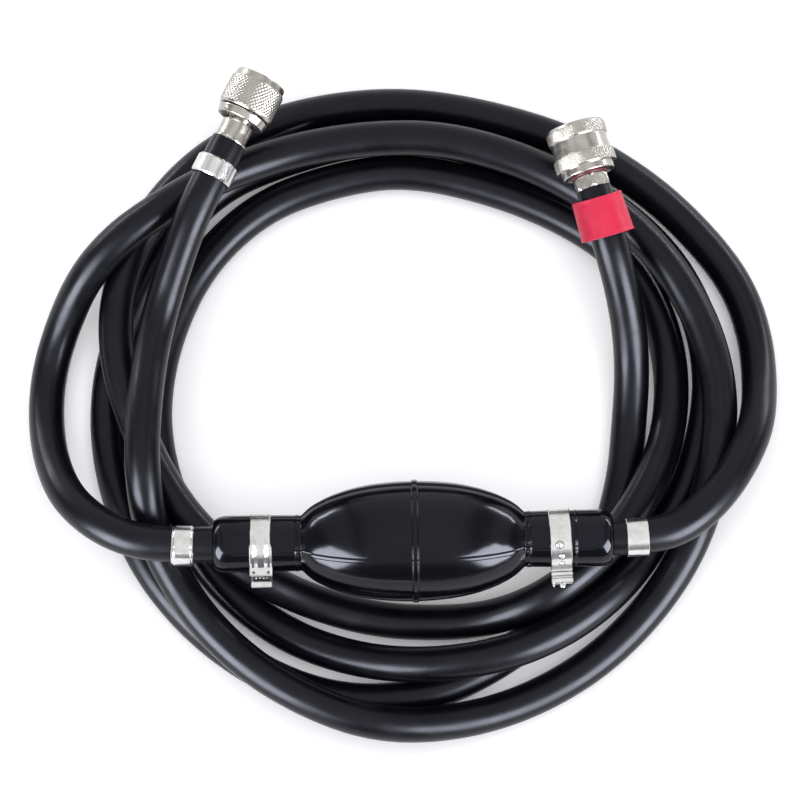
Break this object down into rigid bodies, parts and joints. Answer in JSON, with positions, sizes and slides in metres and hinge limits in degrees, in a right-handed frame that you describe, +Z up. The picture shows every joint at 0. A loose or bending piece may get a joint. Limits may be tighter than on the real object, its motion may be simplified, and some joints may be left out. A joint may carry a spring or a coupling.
{
  "type": "siphon bulb pump",
  "caption": "Hand primer pump for moving fuel or water: a squeeze bulb with check valves, two hoses, a threaded swivel and a quick coupler.",
  "frame": {"origin": "centre of the squeeze bulb, on its long axis", "axes": "+X along the bulb in the direction of flow, +Y across it towards the coil of hose, +Z up"},
  "size_m": [0.2964, 0.2642, 0.0631],
  "materials": {
    "bulb_rubber": "glossy moulded black rubber",
    "hose_rubber": "satin extruded black rubber",
    "stainless": "bright rolled stainless strip",
    "nickel": "nickel plate over brass, knurled",
    "brass": "turned, unplated",
    "spring_steel": "drawn wire and ground balls",
    "valve_plastic": "moulded acetal, satin",
    "seal_rubber": "matt nitrile",
    "red_rubber": "satin pink-red elastomer"
  },
  "bodies": {
    "pump": {"squeeze_bulb": "bulb_rubber", "inlet_valve_housing": "valve_plastic", "inlet_valve_seat": "seal_rubber", "inlet_spring_guide": "valve_plastic", "inlet_valve_spring": "spring_steel", "outlet_valve_housing": "valve_plastic", "outlet_valve_seat": "seal_rubber", "outlet_spring_guide": "valve_plastic", "outlet_valve_spring": "spring_steel", "inlet_collar_band": "stainless", "inlet_collar_band_ear": "stainless", "outlet_collar_band": "stainless", "outlet_collar_band_ear": "stainless", "inlet_hose_band": "stainless", "outlet_hose_band": "stainless", "inlet_hose_1": "hose_rubber", "inlet_hose_2": "hose_rubber", "inlet_hose_3": "hose_rubber", "outlet_hose_1": "hose_rubber", "outlet_hose_2": "hose_rubber", "outlet_hose_3": "hose_rubber", "outlet_hose_4": "hose_rubber", "outlet_hose_5": "hose_rubber", "outlet_hose_6": "hose_rubber", "inlet_end_band": "stainless", "swivel_tail": "nickel", "swivel_thrust_ring": "nickel", "swivel_face_seal": "seal_rubber", "outlet_end_band": "stainless", "red_sleeve": "red_rubber", "coupler_tail": "nickel", "coupler_socket": "nickel", "coupler_o_ring": "red_rubber", "coupler_probe_seal": "seal_rubber", "coupler_snap_ring": "spring_steel", "coupler_balls": "spring_steel", "coupler_valve_spring": "spring_steel", "coupler_sleeve_spring": "spring_steel"},
    "inlet_poppet": {"inlet_valve_poppet": "brass"},
    "outlet_poppet": {"outlet_valve_poppet": "brass"},
    "swivel_nut": {"swivel_nut": "nickel"},
    "coupler_sleeve": {"coupler_sleeve": "nickel"},
    "coupler_valve": {"coupler_valve": "brass"}
  },
  "joints": [
    {"name": "inlet_valve_open", "type": "slide", "parent": "pump", "child": "inlet_poppet", "axis": [1, 0, 0], "range_m": [0, 0.0025], "stiffness_N_per_m": 60, "springref_m": -0.002, "deforming": ["inlet_valve_spring"]},
    {"name": "outlet_valve_open", "type": "slide", "parent": "pump", "child": "outlet_poppet", "axis": [1, 0, 0], "range_m": [0, 0.0025], "stiffness_N_per_m": 60, "springref_m": -0.002, "deforming": ["outlet_valve_spring"]},
    {"name": "swivel_nut_spin", "type": "hinge", "parent": "pump", "child": "swivel_nut", "pos_m": [-0.05981, 0.17426, 0.0105], "axis": [0.4594, 0.8882, 0], "continuous": true},
    {"name": "coupler_sleeve_pull", "type": "slide", "parent": "pump", "child": "coupler_sleeve", "axis": [0.268, -0.9631, -0.0251], "range_m": [0, 0.004], "stiffness_N_per_m": 1500, "springref_m": -0.003, "deforming": ["coupler_sleeve_spring"]},
    {"name": "coupler_valve_push", "type": "slide", "parent": "pump", "child": "coupler_valve", "axis": [0.268, -0.9631, -0.0251], "range_m": [0, 0.0028], "stiffness_N_per_m": 400, "springref_m": -0.003, "deforming": ["coupler_valve_spring"]}
  ]
}
